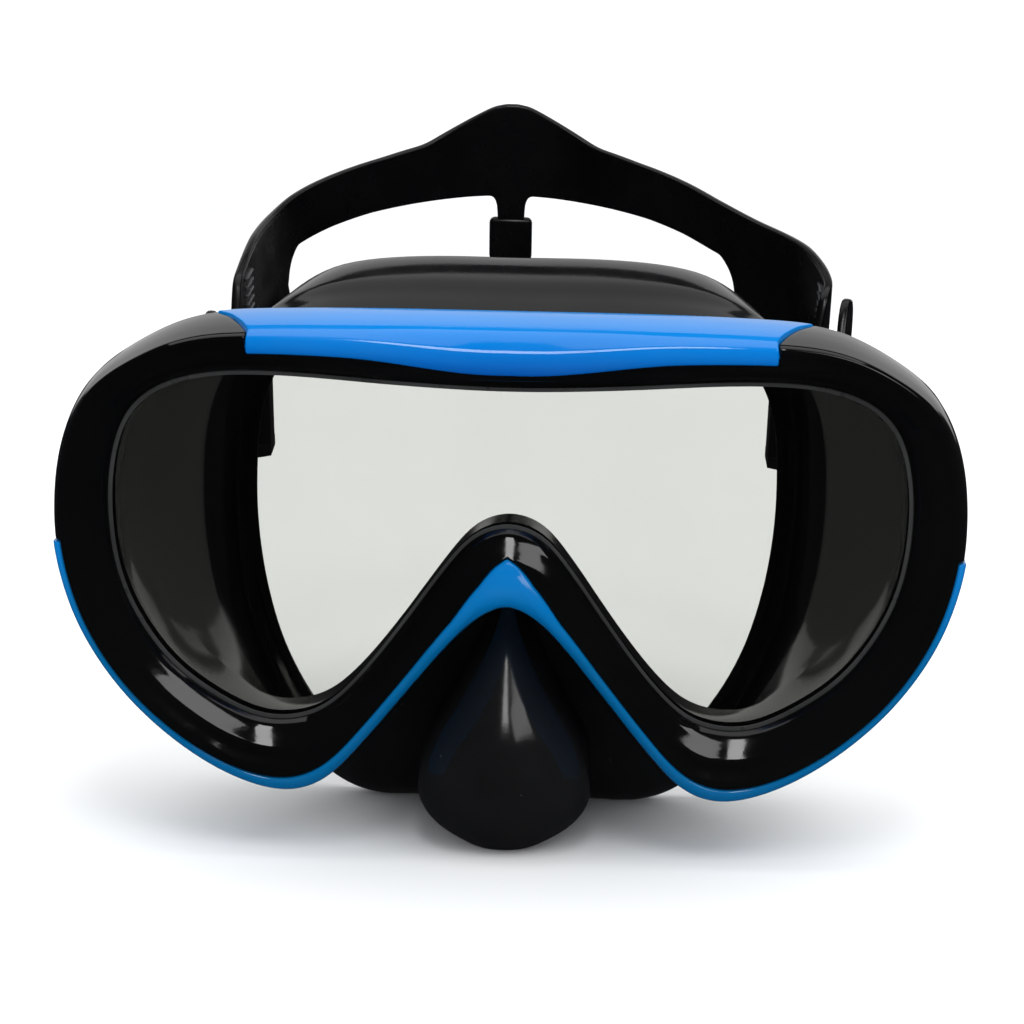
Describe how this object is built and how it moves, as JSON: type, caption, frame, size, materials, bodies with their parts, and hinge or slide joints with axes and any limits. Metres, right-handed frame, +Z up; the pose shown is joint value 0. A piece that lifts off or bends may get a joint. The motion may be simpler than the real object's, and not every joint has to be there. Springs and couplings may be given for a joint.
{
  "type": "diving mask",
  "caption": "Single-window diving mask with a two-colour frame, silicone skirt with nose pocket, and a split head strap on swivel buckles.",
  "frame": {"origin": "centre of the mask's footprint, on the surface it stands on (under the flat bottom of the nose pocket and skirt)", "axes": "+Z up; the wearer looks along -Y; +X towards the wearer's left"},
  "size_m": [0.1736, 0.1859, 0.1456],
  "materials": {
    "gloss_black": "polished black polycarbonate",
    "gloss_blue": "polished blue polycarbonate",
    "satin_black": "satin moulded black plastic",
    "silicone": "black liquid silicone rubber, glossy outside and fine matte at the face seal",
    "glass": "clear tempered glass",
    "steel": "stainless steel pin"
  },
  "bodies": {
    "mask": {"lens": "glass", "front_bezel": "gloss_black", "rear_frame": "satin_black", "brow_trim": "gloss_blue", "lower_trim": "gloss_blue", "skirt": "silicone", "swivel_stud_left": "satin_black", "swivel_washer_left": "satin_black", "swivel_stud_right": "satin_black", "swivel_washer_right": "satin_black"},
    "head_strap": {"strap": "silicone"},
    "buckle_left": {"buckle_frame_left": "satin_black", "roller_pin_left": "steel", "lever_pin_left": "steel"},
    "roller_body_left": {"roller_left": "satin_black"},
    "lever_body_left": {"release_lever_left": "satin_black"},
    "buckle_right": {"buckle_frame_right": "satin_black", "roller_pin_right": "steel", "lever_pin_right": "steel"},
    "roller_body_right": {"roller_right": "satin_black"},
    "lever_body_right": {"release_lever_right": "satin_black"}
  },
  "joints": [
    {"name": "strap_swing", "type": "hinge", "parent": "mask", "child": "head_strap", "pos_m": [0, -0.03935, 0.07418], "axis": [1, 0, 0], "range_deg": [-35, 50]},
    {"name": "buckle_swivel_left", "type": "hinge", "parent": "mask", "child": "buckle_left", "pos_m": [0.067, -0.03935, 0.07418], "axis": [1, 0, 0], "range_deg": [-35, 50]},
    {"name": "roller_spin_left", "type": "hinge", "parent": "buckle_left", "child": "roller_body_left", "pos_m": [0.0662, -0.02285, 0.07829], "axis": [0, -0.2419, 0.9703], "continuous": true},
    {"name": "release_lever_press_left", "type": "hinge", "parent": "buckle_left", "child": "lever_body_left", "pos_m": [0.068, -0.03139, 0.07616], "axis": [0, -0.2419, 0.9703], "range_deg": [0, 8], "stiffness_Nm_per_rad": 0.02},
    {"name": "buckle_swivel_right", "type": "hinge", "parent": "mask", "child": "buckle_right", "pos_m": [-0.067, -0.03935, 0.07418], "axis": [1, 0, 0], "range_deg": [-35, 50]},
    {"name": "roller_spin_right", "type": "hinge", "parent": "buckle_right", "child": "roller_body_right", "pos_m": [-0.0662, -0.02285, 0.07829], "axis": [0, -0.2419, 0.9703], "continuous": true},
    {"name": "release_lever_press_right", "type": "hinge", "parent": "buckle_right", "child": "lever_body_right", "pos_m": [-0.068, -0.03139, 0.07616], "axis": [0, 0.2419, -0.9703], "range_deg": [0, 8], "stiffness_Nm_per_rad": 0.02}
  ],
  "couplings": [
    {"joint": "buckle_swivel_left", "follows": "strap_swing", "ratio": 1},
    {"joint": "buckle_swivel_right", "follows": "strap_swing", "ratio": 1}
  ]
}
